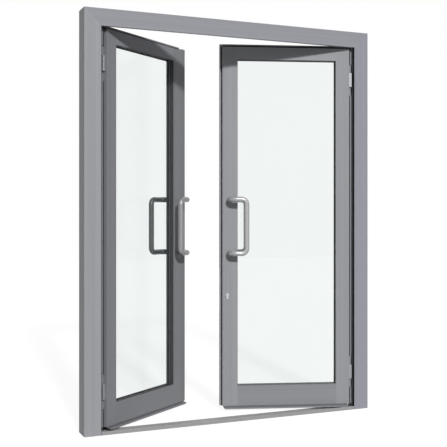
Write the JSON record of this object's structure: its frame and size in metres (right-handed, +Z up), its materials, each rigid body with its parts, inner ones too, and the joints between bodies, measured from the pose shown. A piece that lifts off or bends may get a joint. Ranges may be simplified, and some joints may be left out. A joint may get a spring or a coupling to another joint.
{
  "type": "aluminium double door",
  "caption": "Aluminium double door with its frame: glazed leaves standing open, pull handles, hinges, lock, flush bolts, threshold and drip profiles.",
  "frame": {"origin": "The middle of the frame's base on the floor, halfway between its front and back faces.", "axes": "+X to the right seen from the front, +Y from the front face to the back, +Z up. Both leaves open towards +Y."},
  "size_m": [1.652, 0.5298, 2.15],
  "materials": {
    "profile": "satin anodised",
    "cleat": "mill",
    "plate": "bright",
    "spacer": "matt",
    "steel": "brushed",
    "handle": "satin",
    "brass": "nickel plated",
    "glass": "clear",
    "seal": "matt",
    "brush": "matt"
  },
  "bodies": {
    "frame": {"jamb_left": "profile", "jamb_right": "profile", "head": "profile", "corner_cleats": "cleat", "lip_trims": "seal", "stop_seals": "seal", "threshold": "profile", "head_keep": "steel", "hinge_frame_left": "profile", "hinge_frame_right": "profile", "hinge_pins": "steel", "hinge_frame_screws": "steel"},
    "left_leaf": {"hinge_leaf_left": "profile", "hinge_screws_left": "steel", "hinge_clamps_left": "plate", "hinge_stile_left": "profile", "meeting_stile_left": "profile", "top_rail_left": "profile", "bottom_rail_left": "profile", "glass_panes_left": "glass", "glass_spacer_left": "spacer", "glass_gaskets_left": "seal", "glazing_beads_left": "profile", "setting_blocks_left": "seal", "edge_seals_left": "seal", "drip_profile_left": "profile", "brush_seal_left": "brush", "front_handle_left": "handle", "back_handle_left": "handle", "handle_studs_left": "steel", "meeting_profile": "profile", "flush_bolt_cases": "steel", "strike_plate": "steel"},
    "right_leaf": {"hinge_leaf_right": "profile", "hinge_screws_right": "steel", "hinge_clamps_right": "plate", "hinge_stile_right": "profile", "meeting_stile_right": "profile", "top_rail_right": "profile", "bottom_rail_right": "profile", "glass_panes_right": "glass", "glass_spacer_right": "spacer", "glass_gaskets_right": "seal", "glazing_beads_right": "profile", "setting_blocks_right": "seal", "edge_seals_right": "seal", "drip_profile_right": "profile", "brush_seal_right": "brush", "front_handle_right": "handle", "back_handle_right": "handle", "handle_studs_right": "steel", "lock_case": "steel", "lock_faceplate": "steel", "lock_cylinder": "brass"},
    "upper_bolt": {"upper_flush_bolt": "steel"},
    "lower_bolt": {"lower_flush_bolt": "steel"},
    "lock_core": {"lock_plug": "brass"},
    "lock_bolt": {"dead_bolt": "steel"}
  },
  "joints": [
    {"name": "left_swing", "type": "hinge", "parent": "frame", "child": "left_leaf", "pos_m": [-0.74, 0.031, 0], "axis": [0, 0, 1], "range_deg": [-36.5, 63.5]},
    {"name": "right_swing", "type": "hinge", "parent": "frame", "child": "right_leaf", "pos_m": [0.74, 0.031, 0], "axis": [0, 0, -1], "range_deg": [-17.6, 82.4]},
    {"name": "upper_bolt_slide", "type": "slide", "parent": "left_leaf", "child": "upper_bolt", "axis": [0, 0, 1], "range_m": [0, 0.033]},
    {"name": "lower_bolt_slide", "type": "slide", "parent": "left_leaf", "child": "lower_bolt", "axis": [0, 0, -1], "range_m": [0, 0.033]},
    {"name": "lock_turn", "type": "hinge", "parent": "right_leaf", "child": "lock_core", "pos_m": [0.05155, 0.1791, 0.658], "axis": [-0.3024, -0.9532, 0], "range_deg": [0, 360]},
    {"name": "dead_bolt_slide", "type": "slide", "parent": "right_leaf", "child": "lock_bolt", "axis": [-0.9532, 0.3024, 0], "range_m": [0, 0.02]}
  ],
  "couplings": [
    {"joint": "lock_turn", "follows": "dead_bolt_slide", "rad_per_m": 314.16}
  ]
}
